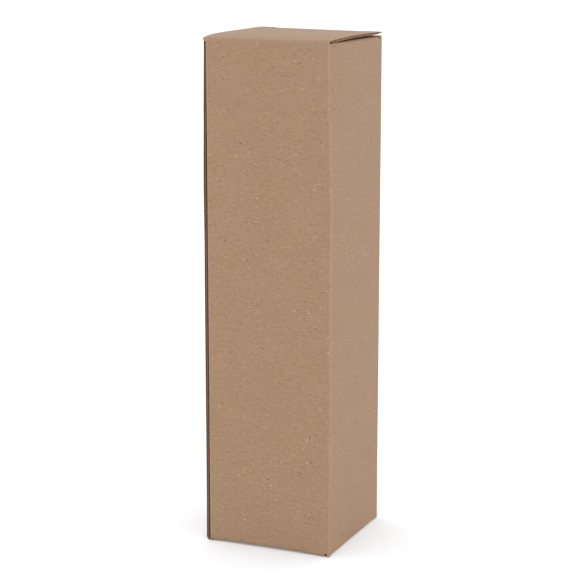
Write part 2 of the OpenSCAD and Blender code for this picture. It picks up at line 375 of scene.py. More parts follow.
def lid_profile(x):
    """Depth, height and place on the blank along the lid's board, from its
    split with the front panel to the ears' ends, one row for each step."""
    radius, turn, end, low = lid_crease(x)
    rows = [(0 * x, z + 0 * x, z + 0 * x) for z in UPRIGHT]
    upright = low - CREASE_LOW
    for k in range(1, LID_STEPS + 1):
        s = (upright + radius * turn) * k / LID_STEPS
        angle = np.maximum(0, s - upright) / radius
        z = np.where(s < upright, CREASE_LOW + s, low + radius * np.sin(angle))
        rows.append((radius * (1 - np.cos(angle)), z, CREASE_LOW + s))
    v = CREASE_LOW + upright + radius * turn
    for share in stations(0, 1, step=FLAT_SHARE)[1:]:
        d = end + (TUCK_FOLD - end) * share
        rows.append((d, PANEL_TOP + lid_height(x, d), v + d - end))
    for k in range(1, EAR_ROWS + 1):
        d = TUCK_FOLD + EAR_REACH * k / EAR_ROWS
        rows.append((d + 0 * x, PANEL_TOP + lid_height(x, d), v + d - end))
    return [np.array(part) for part in zip(*rows)]


# Rows of the lid's board that are joined to the tube, with some of the round ones
LEFT_JOINED = len(UPRIGHT) + 6
RIGHT_JOINED = len(UPRIGHT) + 8
WINGS = len(WING)

# The lid's crushed rear right corner: where it begins, and over what length it grows
CRUSH_SIDE = (8 * MM, 7 * MM)
CRUSH_REAR = (10 * MM, 8 * MM)
CRUSHED = 0.55

# Rows of the tube below the bottom's folds and at the panels' rim
FOOT_ROWS = [1.1 * MM, 1.75 * MM]
RIM_ROWS = [321.6 * MM, 321.8 * MM]

# Small steps at the corners where the lid parts from the tube
CORNER_PRESSED = 0.4 * MM
CORNER_STEP = 0.02 * MM
CORNER_LIP, CORNER_DROP = 0.03 * MM, 0.3 * MM
GLUED_BELOW = 0.04 * MM

sheet = Sheet()


def build_tube():
    """The four panels with their creases, up to where the lid's board begins."""
    z_rows = [RELIEF, *FOOT_ROWS, FOLD, CLEAR, *stations(CLEAR, SPLIT)[1:]]
    points, blank = tube_grid(z_rows)
    cells = np.ones((len(z_rows) - 1, len(COLUMNS) - 1), bool)
    # below the bottom's folds there are only the creases
    foot = z_rows.index(FOLD)
    share = COLUMNS[:, 1]
    creased = (share[:-1] != 0) | (share[1:] != 0)
    beside = np.isclose(share[:-1], 1) | np.isclose(share[1:], -1)
    cells[:foot] = creased & ~beside
    cells[: foot + 1, : FOLD_STEPS // 2] = False
    return z_rows, sheet.grid(points, blank, CARTON, cells)


def build_lid_board(top_row):
    """The board that becomes the lid. Gives its numbers, its places across,
    its heights and its places up the blank."""
    front = np.arange(FOLD_STEPS, RIGHT_CREASE + 1)
    x_flat = np.concatenate([WING, tube_grid([SPLIT], front)[0][0, :, 0]])
    depth, height, v = lid_profile(x_flat)
    face = tube_grid(height[:, -1], front)[0]
    wings = np.broadcast_to(WING, (len(face), WINGS))
    x = np.concatenate([wings, face[..., 0]], axis=1)
    behind = np.concatenate([0 * wings, face[..., 1] - FRONT], axis=1)
    behind[len(UPRIGHT) - 1 + LID_STEPS :] = 0
    points = stack(x, FRONT + depth + behind, height)
    known = [(np.s_[0, WINGS:], top_row[front])]
    cells = np.ones((len(depth) - 1, x.shape[1] - 1), bool)
    cells[:LEFT_JOINED, :WINGS] = False
    cells[LEFT_JOINED, 0] = False
    slits = (x_flat[:-1] > LEFT + EAR - TINY) & (x_flat[1:] < RIGHT - EAR + TINY)
    cells[-EAR_ROWS:, slits] = False
    from_side = ease((x - RIGHT + CRUSH_SIDE[0]) / CRUSH_SIDE[1])
    from_rear = ease((depth - DEPTH + CRUSH_REAR[0]) / CRUSH_REAR[1])
    thickness = BOARD * (1 - CRUSHED * (from_side * from_rear))
    lid = sheet.grid(points, stack(x - LEFT, v), LID, cells, known, thickness=thickness)
    return lid, x_flat, height, v


def build_glued_fold(z_rows, tube, lid, height):
    """The glued flap and its fold, which runs up beside the lid's board."""
    z = height[:LEFT_JOINED, WINGS]
    glue = np.arange(0, FOLD_STEPS + 1)
    points, blank = tube_grid(z, glue)
    points[-1, :-1, 2] += height[LEFT_JOINED, WINGS] - z[-1] - GLUED_BELOW
    known = [(0, tube[-1][glue]), (np.s_[:, -1], lid[:LEFT_JOINED, WINGS])]
    fold = sheet.grid(points, blank, CARTON, known=known)
    build_glue_flap(np.concatenate([tube[z_rows.index(CLEAR) :, 0], fold[1:, 0]]))


def build_upper_ends(top_row, lid, height):
    """The upper ends of the right, back and left panels, with the dust flaps."""
    joined = RIGHT_JOINED
    top_z = [*height[:joined, -1], PANEL_TOP - FOLD, *RIM_ROWS, PANEL_TOP]
    rest = np.arange(RIGHT_CREASE, len(COLUMNS))
    points, blank = tube_grid(top_z, rest)

    # beside the lid the crease's right half is pressed down at its upper end
    half = FOLD_STEPS // 2
    share = np.clip(np.arange(len(rest)) / half, 0, 1)
    corner = top_z[joined - 1]
    squeeze = (top_z[joined] - CORNER_PRESSED - SPLIT) / (corner - SPLIT)
    points[:joined, :, 2] = SPLIT + (points[:joined, :, 2] - SPLIT) * (1 + (squeeze - 1) * share)
    near, share = slice(half + 1), share[: half + 1]
    points[joined, near, 2] = corner + CORNER_STEP + (top_z[joined] - corner) * share
    points[joined + 1, near, 2] = corner + CORNER_LIP - CORNER_DROP * share

    # that half also follows the lid's round front back
    set_back = np.array([sheet.points[n][1] for n in lid[:joined, -1]])
    set_back = np.append(set_back, np.repeat(set_back[-1], len(top_z) - joined))[:, None]
    start = points[:, :1, 1]
    along = (points[:, near, 1] - start) / (FRONT + CLEAR - start)
    points[:, near, 1] = set_back + along * (FRONT + CLEAR - set_back)

    known = [(0, top_row[rest]), (np.s_[:joined, 0], lid[:joined, -1])]
    base = COLUMNS[rest, 0]
    low, high = base[:-1], base[1:]
    dust = {
        "right": (WIDTH + DUST_FRONT, WIDTH + DUST_REAR),
        "left": (TUBE_END - DUST_REAR, TUBE_END - DUST_FRONT),
    }
    cells = np.ones((len(top_z) - 1, len(rest) - 1), bool)
    cells[joined + 1 :, :half] = False
    for a, b in dust.values():
        cells[joined:, (low > a - RELIEF - TINY) & (high < b + RELIEF + TINY)] = False
    cells[joined + 1 :, high < WIDTH + DUST_FRONT - TINY] = False
    cells[joined + 2, low > TUBE_END - DUST_FRONT + TINY] = False
    upper = sheet.grid(points, blank, CARTON, cells, known)
    for side, (a, b) in dust.items():
        chosen = np.nonzero((base > a - TINY) & (base < b + TINY))[0]
        build_dust_flap(side, upper[joined, chosen], base[chosen])


def build_all():
    z_rows, tube = build_tube()
    lid, x_flat, height, v = build_lid_board(tube[-1])
    build_glued_fold(z_rows, tube, lid, height)
    build_upper_ends(tube[-1], lid, height)
    slit_row = -1 - EAR_ROWS
    build_tuck_flap(lid[slit_row], x_flat, height[slit_row], v[slit_row])
    build_bottom(tube[z_rows.index(FOLD)])


def build_glue_flap(column):
    """The flap that is glued to the inside of the left panel."""
    z = np.array([sheet.points[n][2] for n in column])
    u_fold = sheet.blank[column[len(column) // 2]][0]
    share = (z - z[0]) / (z[-1] - z[0])
    depths = stations(0, GLUE_LEN - FOLD)
    low = z[0] + GLUE_SLANT * depths / depths[-1]
    high = z[-1] - GLUE_SLANT * depths / depths[-1]
    heights = low[:, None] + share[None] * (high - low)[:, None]
    y = FRONT + CREASE_U[0] - u_fold + depths[:, None]
    points = stack(CREASE_XY[0, 0], y, heights)
    blank = stack(u_fold - depths[:, None], heights)
    sheet.grid(points, blank, CARTON, known=[(0, column)])


def place(panel, along, inward, z):
    """Points beside a panel: a distance along it, a distance in, a height."""
    origin, run = PANEL_XY[panel], PANEL_RUN[panel]
    side = np.array([-run[1], run[0]])
    along, inward, z = np.broadcast_arrays(along, inward, z)
    xy = origin + along[..., None] * run + inward[..., None] * side
    return stack(xy[..., 0], xy[..., 1], z)


def tip_inset(d, length, radius=TIP):
    """How far a round corner draws an edge in, near the end of a flap."""
    over = np.clip(d - (length - radius), 0, radius)
    return radius - np.sqrt(radius**2 - over**2)


def fold_arc(sign, start):
    """Depth, height and length along a quarter turn into the box."""
    angles = np.linspace(0, math.pi / 2, FOLD_STEPS + 1)
    return FOLD * (1 - np.cos(angles)), start + sign * FOLD * np.sin(angles), FOLD * angles


def build_dust_flap(panel, first, base):
    """A flap that folds in under the lid from the right or left panel."""
    along = base - PANEL_U[panel]
    d_arc, z_arc, v_arc = fold_arc(1, PANEL_TOP - FOLD)
    d_flat = stations(FOLD, DUST_LEN, DUST_LEN - DUST_TIP * DUST_TIP_SHARES)[1:]
    d = np.concatenate([d_arc, d_flat])
    reach = (d - FOLD) / (DUST_LEN - FOLD)
    sprung = PANEL_TOP + DUST_SPRING[panel] * reach[len(d_arc) :] ** 2
    z = np.concatenate([z_arc, sprung])
    v = PANEL_TOP - FOLD + np.concatenate([v_arc, v_arc[-1] + d_flat - FOLD])
    tip = tip_inset(d, DUST_LEN, DUST_TIP)
    tapered = np.clip((d - DUST_SHOULDER) / (DUST_LEN - DUST_SHOULDER), 0, 1)
    front = DUST_FRONT + DUST_SLANT * np.clip(reach, 0, 1) + tip
    rear = DUST_REAR - DUST_TAPER * tapered - tip
    low, high = (front, rear) if panel == "right" else (DEPTH - rear, DEPTH - front)
    s = low[:, None] + (along - along[0])[None] / (along[-1] - along[0]) * (high - low)[:, None]
    points = place(panel, s, d[:, None], z[:, None])
    sheet.grid(points, stack(PANEL_U[panel] + s, v[:, None]), CARTON, known=[(0, first)])


def build_bottom_flap(panel, fold_row, low, high, level, start, length, marks, shape, has):
    """A bottom flap. shape(d) gives places along the fold and where they lie
    at depth d, and has(s, d) says where there is board."""
    offset = PANEL_U[panel]
    chosen = near_columns(offset + low, offset + high)
    along = COLUMNS[chosen, 0] - offset
    d_arc, z_arc, v_arc = fold_arc(-1, FOLD)
    climb_marks = start + climb_run(level) * np.linspace(0, 1, CLIMB_STEPS + 1)
    d_flat = stations(FOLD, length, [*climb_marks, *marks])[1:]
    d = np.concatenate([d_arc, d_flat])
    z = np.concatenate([z_arc, level * ease((d_flat - start) / climb_run(level))])
    v = FOLD - np.concatenate([v_arc, v_arc[-1] + d_flat - FOLD])
    folded = FOLD_STEPS + 1
    s = np.array([along] * folded + [np.interp(along, *shape(dd)) for dd in d[folded:]])
    middle_s, middle_d = (along[:-1] + along[1:]) / 2, (d[:-1] + d[1:]) / 2
    cells = np.array([[dd < FOLD or has(ss, dd) for ss in middle_s] for dd in middle_d])
    points = place(panel, s, d[:, None], z[:, None])
    known = [(0, fold_row[chosen])]
    sheet.grid(points, stack(offset + s, v[:, None]), CARTON, cells, known, flip=True)


def tip_marks(length, radius=TIP):
    """Depths at which a flap's round corner needs a row."""
    return [length - radius * share for share in TIP_SHARES]


def build_bottom(fold_row):
    """The four flaps of the snap-lock bottom."""
    middle = WIDTH / 2
    half = middle - CLEAR
    shoulder = middle - SHOULDER

    def front_shape(d):
        a = TONGUE_HALF - (tip_inset(d, TONGUE_END) if d > FRONT_FLAP else 0)
        b = shoulder - tip_inset(min(d, FRONT_FLAP), FRONT_FLAP)
        places = np.array([-shoulder, -TONGUE_HALF, TONGUE_HALF, shoulder])
        return middle + places, middle + np.array([-b, -a, a, b])

    def front_has(s, d):
        return abs(s - middle) < (shoulder if d < FRONT_FLAP else TONGUE_HALF)

    level = 3 * LAYER
    start = DEPTH - BACK_NOTCH - climb_run(level) - RELIEF
    marks = [FRONT_FLAP, *tip_marks(FRONT_FLAP), *tip_marks(TONGUE_END)]
    build_bottom_flap("front", fold_row, BOARD + CLEAR, WIDTH - CLEAR, level, start, TONGUE_END,
                      marks, front_shape, front_has)

    def back_shape(d):
        arm = half - RELIEF * min(1, (d - FOLD) / RELIEF) - tip_inset(d, BACK_FLAP)
        places = np.array([-half, -NOTCH_HALF, NOTCH_HALF, half])
        return middle + places, middle + np.array([-arm, -NOTCH_HALF, NOTCH_HALF, arm])

    def back_has(s, d):
        return d < BACK_NOTCH or abs(s - middle) > NOTCH_HALF

    build_bottom_flap("back", fold_row, CLEAR, WIDTH - CLEAR, 2 * LAYER, CLEAR, BACK_FLAP,
                      [CLEAR, BACK_NOTCH, *tip_marks(BACK_FLAP)], back_shape, back_has)

    rear = DEPTH - CLEAR - climb_run(2 * LAYER) - RELIEF
    inner = SIDE_REACH - TIP * (1 - math.cos(SIDE_CORNER))
    slope_end = SIDE_FLAP - TIP / 2

    def side_edges(d, first):
        tip = tip_inset(d, SIDE_FLAP)
        low = first + RELIEF * np.clip((d - FOLD) / BOARD, 0, 1) + tip
        high = np.interp(d, [CLEAR, slope_end], [rear, inner])
        if d > slope_end:
            high = SIDE_REACH - tip
        return low, high

    def right_shape(d):
        return np.array([CLEAR, rear]), np.array(side_edges(d, CLEAR))

    def left_shape(d):
        low, high = side_edges(d, FREE_END)
        return np.array([DEPTH - rear, DEPTH - FREE_END]), np.array([DEPTH - high, DEPTH - low])

    marks = [CLEAR, slope_end, *tip_marks(SIDE_FLAP)]
    build_bottom_flap("right", fold_row, CLEAR, DEPTH - CLEAR, LAYER, CLEAR, SIDE_FLAP,
                      marks, right_shape, lambda s, d: s < rear)
    build_bottom_flap("left", fold_row, CLEAR, DEPTH - FREE_END, LAYER, CLEAR, SIDE_FLAP,
                      marks, left_shape, lambda s, d: s > DEPTH - rear)


def build_tuck_flap(first, x_flat, height, v):
    """The lid's rear flap: its fold between the slits, then the flap itself."""
    chosen = (x_flat > LEFT + EAR - TINY) & (x_flat < RIGHT - EAR + TINY)
    x, top, v0 = x_flat[chosen], height[chosen], v[chosen]
    angles = np.linspace(0, math.pi / 2, FOLD_STEPS + 1)[:, None]
    points = stack(x, FRONT + TUCK_FOLD + FOLD * np.sin(angles), top - FOLD * (1 - np.cos(angles)))
    drop = np.array([TUCK_SHOULDER / 2, TUCK_SHOULDER])[:, None]
    lean = TUCK_LEAN / TUCK_LEN
    below = stack(x, FRONT + TUCK_FOLD + FOLD - lean * drop, top - FOLD - drop)
    points = np.concatenate([points, below])
    lengths = np.concatenate([FOLD * angles, FOLD * math.pi / 2 + drop])
    blank = stack(x - LEFT, v0 + lengths)
    narrow = sheet.grid(points, blank, LID, known=[(0, first[chosen])])

    inner = WIDTH / 2 - EAR
    q = stations(TUCK_SHOULDER, TUCK_LEN, tip_marks(TUCK_LEN, TUCK_TIP), TUCK_STEP)[:, None]
    half = TUCK_HALF - tip_inset(q, TUCK_LEN, TUCK_TIP)
    shares = np.array([1 / 3, 2 / 3, 1])
    sides = inner + shares * (half - inner)
    across = np.concatenate([-sides[:, ::-1], np.broadcast_to(x, (len(q), len(x))), sides], axis=1)
    top = PANEL_TOP + lid_height(across, TUCK_FOLD)
    points = stack(across, FRONT + TUCK_FOLD + FOLD - lean * q, top - FOLD - q)
    blank = stack(across - LEFT, v0[0] + FOLD * math.pi / 2 + q)
    sheet.grid(points, blank, LID, known=[(np.s_[0, 3:-3], narrow[-1])])


# How far the left panel's free end stands off at a few heights, in millimetres
STANDOFF_HEIGHTS = np.array([0, 30, 100, 190, 235, 275, 322]) * MM
STANDOFF = [0.15, -0.05, 0, 0, 0.4, 0.15, -0.25]
STANDOFF_REACH = 25 * MM
STANDOFF_SIDE = 20 * MM

# The crease beside the right panel wanders: how far to the left, in millimetres
DRIFT_HEIGHTS = np.array([0, 40, 99, 163, 226, 289, 316]) * MM
DRIFT = [0, 0, -0.3, 0.15, -0.3, 1.2, 2.0]
DRIFT_REACH = 26 * MM

# The front's lower edge is off the table: where that begins, and over what length
LIFT = 1.1 * MM
LIFT_LEFT = (3 * MM, 18 * MM)
LIFT_RIGHT = (4 * MM, 22 * MM)
LIFT_BACK = 35 * MM
LIFT_UP = (4 * MM, 22 * MM)


def settle(points, blank):
    """Small ways in which the box is not true: a free end that stands off, a
    crease that wanders, and a lower edge that lifts off the table."""
    x, y, z = points.T
    u = blank[:, 0]
    free = fade(TUBE_END - u, STANDOFF_REACH) * fade(x - LEFT, STANDOFF_SIDE)
    x = x - free * eased_run(z, STANDOFF_HEIGHTS, STANDOFF) * MM
    beside = fade(np.abs(u - WIDTH), DRIFT_REACH) * fade(y - FRONT, DRIFT_REACH)
    x = x - beside * eased_run(z, DRIFT_HEIGHTS, DRIFT) * MM
    from_left = ease((x - LEFT - LIFT_LEFT[0]) / LIFT_LEFT[1])
    from_right = ease((RIGHT - LIFT_RIGHT[0] - x) / LIFT_RIGHT[1])
    near = fade(y - FRONT, LIFT_BACK) * fade(z - LIFT_UP[0], LIFT_UP[1])
    return stack(x, y, z + LIFT * (from_left * from_right) * near)


# Where the board is pressed thinner: creases, the lid's corner, free end and wing
CREASE_SHARE = 0.95
CORNER_BOARD = 0.5 * MM
CORNER_HEIGHT = 8 * MM
FRONT_BAND = 3 * MM
CORNER_FADE = 3.5 * MM
END_PRESSED, END_WIDTH = 0.35 * MM, 4 * MM
WING_PRESSED, WING_LOW = 0.9 * MM, 320.5 * MM
WING_WIDTH, WING_FADE, WING_REACH = 5 * MM, 2 * MM, 6 * MM


def pressed_thickness(points, blank):
    """How much thinner the board is where it was pressed."""
    u, z = blank[:, 0], points[:, 2]
    behind = points[:, 1] - FRONT - FRONT_BAND
    less = np.zeros(len(u))
    for k in range(1, 4):
        thin = np.minimum(BOARD, CREASE_SHARE * crease_radius(k, z))
        reach = 1
        if k == 1:
            thin = thin + (CORNER_BOARD - thin) * ease((z - SPLIT) / CORNER_HEIGHT)
            reach = fade(behind, CORNER_FADE)
        near = np.clip((CLEAR - np.abs(u - CREASE_U[k])) / (CLEAR - crease_radius(k, z)), 0, 1)
        less += near * (BOARD - thin) * reach
    less += END_PRESSED * ease((u - TUBE_END + SEAM_LOOSE) / END_WIDTH)
    wing = ease((WING_WIDTH - u) / WING_FADE) * ease((z - WING_LOW) / MM)
    return less + WING_PRESSED * (wing * fade(behind, WING_REACH))


build_all()
blank = np.array(sheet.blank)
settled = settle(np.array(sheet.points), blank)
sheet.points = list(settled)
sheet.thickness = list(np.array(sheet.thickness) - pressed_thickness(settled, blank))


# The board's thickness: liners, raw edges and the fluted paper between them
def unit(vectors):
    return vectors / np.maximum(np.linalg.norm(vectors, axis=-1, keepdims=True), 1e-12)


class Part:
    """Faces of one piece, with materials, normals and sheet places."""

    def __init__(self):
        self.points, self.blank = [], []
        self.faces, self.materials, self.normals = [], [], []

    def add(self, point, u, v, w):
        self.points.append(point)
        self.blank.append((u, v, w))
        return len(self.points) - 1

    def face(self, corners, material, normals=None):
        self.faces.append(corners)
        self.materials.append(material)
        if normals is None:
            p = np.array([self.points[c] for c in corners])
            flat = np.cross(p[1:-1] - p[0], p[2:] - p[0]).sum(0)
            normals = [unit(flat)] * len(corners)
        self.normals.extend(normals)


# Materials of the faces: the liners' outsides, raw edges, and the wavy paper
OUTSIDE, INSIDE, EDGE, FLUTE = range(4)

# Flutes don't show in an edge that runs along them, or where the board bends more
ALONG_FLUTES = 0.35
BENT = 0.2 * MM

# The wavy paper, which is flatter on the lid's worn edges
RIBBON_STEPS = 10
FLUTE_INSET = 0.05 * MM
FLATTENED = 0.35


class Board:
    """Gives a sheet its thickness and splits it into its two pieces."""

    def __init__(self, flat):
        self.p = np.array(flat.points)
        self.uv = np.array(flat.blank)
        self.t = np.array(flat.thickness)
        self.quads = np.array(flat.quads)
        self.pieces = np.array(flat.pieces)
        self.n = self.vertex_normals()
        self.find_edges()

    def vertex_normals(self):
        q = self.p[self.quads]
        flat = np.cross(q[:, 2] - q[:, 0], q[:, 3] - q[:, 1])
        total = np.zeros_like(self.p)
        for k in range(4):
            np.add.at(total, self.quads[:, k], flat)
        return unit(total)

    def find_edges(self):
        """Edges with a quad on one side only are raw, and those between the
        two pieces are joined."""
        owner = {}
        for number, quad in enumerate(self.quads):
            for a, b in zip(quad, np.roll(quad, -1)):
                owner[int(a), int(b)] = number
        self.raw, self.joined = [], []
        for (a, b), number in owner.items():
            other = owner.get((b, a))
            piece = self.pieces[number]
            if other is None:
                self.raw.append((a, b, piece))
            elif self.pieces[other] != piece:
                self.joined.append((a, b, piece))
        outward = np.zeros_like(self.p)
        crosses = np.ones(len(self.p), bool)
        for a, b, _ in self.raw:
            along = self.p[b] - self.p[a]
            side = np.cross(along, self.n[a] + self.n[b])
            outward[[a, b]] += unit(side)
            du, dv = np.abs(self.uv[b] - self.uv[a])
            if dv < ALONG_FLUTES * du:
                crosses[[a, b]] = False
        outward -= (outward * self.n).sum(1)[:, None] * self.n
        self.outward = unit(outward)
        self.depth = np.where(crosses, FLUTE_DEPTH, GROOVE_DEPTH)
        on_lid = np.unique(self.quads[self.pieces == LID])
        self.depth[on_lid] = np.minimum(self.depth[on_lid], LID_FLUTE_DEPTH)
        edge = np.unique([k for a, b, _ in self.raw for k in (a, b)])
        self.depth[[k for k in edge if not self.runs_straight(k)]] = GROOVE_DEPTH

    def runs_straight(self, k):
        """Whether the sheet stays in one plane for as far in from its raw
        edge as the flutes can be looked into."""
        near = np.nonzero(np.abs(self.uv - self.uv[k]).max(1) < 2 * FLUTE_DEPTH)[0]
        for share in (0.5, 1):
            inner = self.p[k] - self.outward[k] * FLUTE_DEPTH * share
            to_inner = inner - self.p[near]
            closest = np.argmin((to_inner**2).sum(1))
            if abs(to_inner[closest] @ self.n[near[closest]]) > BENT:
                return False
        return True

    def level(self, k, w, inset=0.0):
        """A vertex's place at depth w in the board, set in from its raw edge."""
        return self.p[k] - self.n[k] * w - self.outward[k] * inset

    def part(self, piece):
        """One piece: its liners, its raw and joined edges, and its wavy paper."""
        out = Part()
        rings = {}

        def ring(k):
            """The numbers of a vertex's points through the board."""
            if k not in rings:
                u, v = self.uv[k]
                t, d = self.t[k], self.depth[k]
                liner = LINER * t / BOARD
                steps = [(0, 0), (liner, 0), (liner, d), (t - liner, d), (t - liner, 0), (t, 0)]
                rings[k] = [out.add(self.level(k, w, inset), u, v, w) for w, inset in steps]
            return rings[k]

        flat_points = {}

        def face_point(k, inside):
            if k in rings:
                return rings[k][5 if inside else 0]
            if (k, inside) not in flat_points:
                w = self.t[k] if inside else 0
                u, v = self.uv[k]
                flat_points[k, inside] = out.add(self.level(k, w), u, v, w)
            return flat_points[k, inside]

        raw = [(a, b) for a, b, owner in self.raw if owner == piece]
        rim, groove = (INSIDE, EDGE) if piece == LID else (EDGE, FLUTE)
        for a, b in raw:
            low, high = ring(a), ring(b)
            for k in range(5):
                material = rim if k in (0, 4) else groove
                out.face([high[k], low[k], low[k + 1], high[k + 1]], material)
        for number in np.nonzero(self.pieces == piece)[0]:
            quad = self.quads[number]
            out.face([face_point(k, False) for k in quad], OUTSIDE, [self.n[k] for k in quad])
            back = quad[::-1]
            out.face([face_point(k, True) for k in back], INSIDE, [-self.n[k] for k in back])
        joined = [(a, b) for a, b, owner in self.joined if owner == piece]
        for a, b in joined:
            corners = [face_point(b, False), face_point(a, False), face_point(a, True)]
            out.face([*corners, face_point(b, True)], EDGE)
        joined_ends = {a for a, _ in joined}, {b for _, b in joined}
        for a, b in raw:
            if b in joined_ends[0]:
                out.face(rings[b], EDGE)
            if a in joined_ends[1]:
                out.face(rings[a][::-1], EDGE)
        self.add_flutes(out, raw)
        return out

    def add_flutes(self, out, raw):
        """The wavy paper that shows where the flutes are cut across."""
        following = {a: b for a, b in raw}
        deep = {a for a, b in raw if min(self.depth[a], self.depth[b]) > GROOVE_DEPTH}
        starts = [a for a in deep if not any(following.get(c) == a for c in deep)]
        for start in starts:
            chain = [start]
            while chain[-1] in deep and following[chain[-1]] != start:
                chain.append(following[chain[-1]])
            self.add_ribbon(out, np.array(chain))

    def add_ribbon(self, out, chain):
        """One strip of the wavy paper along a run of raw edges."""
        lengths = np.linalg.norm(np.diff(self.p[chain], axis=0), axis=1)
        place = np.concatenate([[0], np.cumsum(lengths)])
        count = int(place[-1] / PITCH * RIBBON_STEPS)
        if count < RIBBON_STEPS:
            return
        at = np.linspace(0, place[-1], count)

        def sample(values):
            values = values[chain].reshape(len(chain), -1)
            return np.stack([np.interp(at, place, column) for column in values.T], 1)

        def wave(size, every, start=0.0):
            """A slow wave, one for every so many flutes."""
            return size * np.sin(phase / every + start)

        p, n, side = sample(self.p), unit(sample(self.n)), unit(sample(self.outward))
        t, uv, depth = sample(self.t)[:, 0], sample(self.uv), sample(self.depth)[:, 0]
        phase = 2 * math.pi * uv[:, 1] / PITCH
        wander = wave(0.35, 5.3, 1) + wave(0.25, 2.7)
        flatter = np.where(depth < FLUTE_DEPTH, FLATTENED, 0) * (1 + wave(1, 2))
        swing = (t - 2 * LINER * t / BOARD - MEDIUM) / 2 * (1 + (wave(0.05, 3.1) - flatter))
        middle = t / 2 + swing * np.sin(phase + wander)
        inset = FLUTE_INSET * (1.2 + wave(0.5, 1.7, 2) + wave(1, 4.1))
        corners = []
        for w, back in ((-0.5, inset), (0.5, inset), (0.5, depth), (-0.5, depth)):
            level = middle + w * MEDIUM
            points = p - n * level[:, None] - side * back[:, None]
            corners.append([out.add(points[k], *uv[k], level[k]) for k in range(count)])
        for k in range(count - 1):
            for c in range(4):
                here, there = corners[c], corners[(c + 1) % 4]
                material = EDGE if c == 0 else FLUTE
                out.face([here[k + 1], here[k], there[k], there[k + 1]], material)
        out.face([corner[0] for corner in corners[::-1]], FLUTE)
        out.face([corner[-1] for corner in corners], FLUTE)


# A painted highlight beside each upright crease, partly scuffed paper: the paper is made lighter
# there
CREASE_HIGHLIGHT_PLACE = 0.4 * MM
CREASE_HIGHLIGHT_WIDTH = 1.1 * MM
CREASE_HIGHLIGHT_MOST = 1.15


def add_object(name, data):
    added = bpy.data.objects.new(name, data)
    bpy.context.scene.collection.objects.link(added)
    return added


def fill(node, values):
    """Sets a node's own values."""
    for socket, value in values.items():
        node.inputs[socket].default_value = value


def make_object(part, name, materials):
    mesh = bpy.data.meshes.new(name)
    mesh.from_pydata([tuple(p) for p in part.points], [], part.faces)
    mesh.polygons.foreach_set("material_index", part.materials)
    for material in materials:
        mesh.materials.append(material)
    mesh.shade_smooth()
    mesh.normals_split_custom_set([tuple(n) for n in part.normals])
    places = mesh.attributes.new("sheet_place", "FLOAT_VECTOR", "POINT")
    places.data.foreach_set("vector", np.array(part.blank, np.float32).ravel())
    # painted highlight, partly scuffing: lighter paper beside each upright crease, kept as an
    # attribute for the materials
    from_crease = np.abs(np.array(part.blank)[:, :1] - np.array(CREASE_U) - CREASE_HIGHLIGHT_PLACE).min(1)
    crease_highlight_and_scuff = np.clip(CREASE_HIGHLIGHT_MOST - from_crease / CREASE_HIGHLIGHT_WIDTH, 0, 1)
    mesh.attributes.new("crease_highlight_and_scuff", "FLOAT", "POINT").data.foreach_set("value", crease_highlight_and_scuff)
    mesh.update()
    return add_object(name, mesh)


# Materials. Their patterns follow the flat sheet, so they run over every fold.
class Nodes:
    """Short forms for building a material's nodes."""

    def __init__(self, material):
        self.tree = material.node_tree

    def add(self, kind, inputs=None, **settings):
        node = self.tree.nodes.new(kind)
        for key, value in settings.items():
            setattr(node, key, value)
        for key, value in (inputs or {}).items():
            self.put(node.inputs[key], value)
        return node

    def put(self, socket, value):
        if isinstance(value, bpy.types.NodeSocket):
            self.tree.links.new(value, socket)
        else:
            socket.default_value = value

    def math(self, operation, a, b=0.0, kind="ShaderNodeMath"):
        return self.add(kind, {0: a, 1: b}, operation=operation).outputs[0]

    def vector_math(self, operation, a, b):
        return self.math(operation, a, b, "ShaderNodeVectorMath")

    def mixed_in(self, total, source, weight):
        """The total with a share of the source added."""
        return self.math("ADD", total, self.math("MULTIPLY", source, weight))

    def spread(self, vector, lengths):
        """Places counted in lengths given in millimetres."""
        return self.vector_math("MULTIPLY", vector, [MM_PER_METRE / s for s in lengths])

    def noise(self, vector, lengths, detail, roughness):
        """Noise with features this long, in millimetres."""
        inputs = {"Vector": self.spread(vector, lengths), "Scale": 1.0}
        inputs |= {"Detail": detail, "Roughness": roughness}
        return self.add("ShaderNodeTexNoise", inputs).outputs["Fac"]

    def span(self, value, low, high, to_low=0.0, to_high=1.0):
        """The value, brought from one range to another."""
        ends = {"From Min": low, "From Max": high, "To Min": to_low, "To Max": to_high}
        return self.add("ShaderNodeMapRange", {"Value": value, **ends}).outputs[0]

    def flecks(self, vector, spacing, size, share, seed):
        """Small spots: spacing in millimetres, size as a share of it, and the
        share of places that has one."""
        moved = self.vector_math("ADD", self.spread(vector, spacing), (seed, seed * 2, seed * 3))
        cells = self.add("ShaderNodeTexVoronoi", {"Vector": moved, "Scale": 1.0})
        chosen = self.add("ShaderNodeSeparateColor", {"Color": cells.outputs["Color"]})
        near = self.span(cells.outputs["Distance"], size, size * FLECK_CORE)
        there = self.math("LESS_THAN", chosen.outputs[0], share)
        strength = self.span(chosen.outputs[1], 0, 1, FLECK_FAINTEST, 1)
        return self.math("MULTIPLY", self.math("MULTIPLY", near, there), strength)


# The outer liner: its colour, the tones that it drifts between, and its finish
KRAFT = (0.336, 0.209, 0.1265)
PALE = (0.995, 1.0, 1.015)
RICH = (1.0, 1.003, 0.955)
PATCHES = (19, 16, 60)
FINISH = {
    "Roughness": 0.72, "Specular IOR Level": 0.3, "Sheen Weight": 0.03, "Sheen Roughness": 0.6,
}

# The papers: shares of that colour, and strength of tones, flecks and bumps
PAPERS = {
    "kraft_outside": ((1, 1, 1), 1.0, 1.0, 0.5),
    "kraft_inside": ((0.96, 0.93, 0.9), 1.0, 0.8, 0.5),
    "kraft_raw_edge": ((0.87, 0.78, 0.69), 1.4, 0.5, 0.8),
    "kraft_fluting": ((0.62, 0.48, 0.38), 1.3, 0.3, 0.8),
}

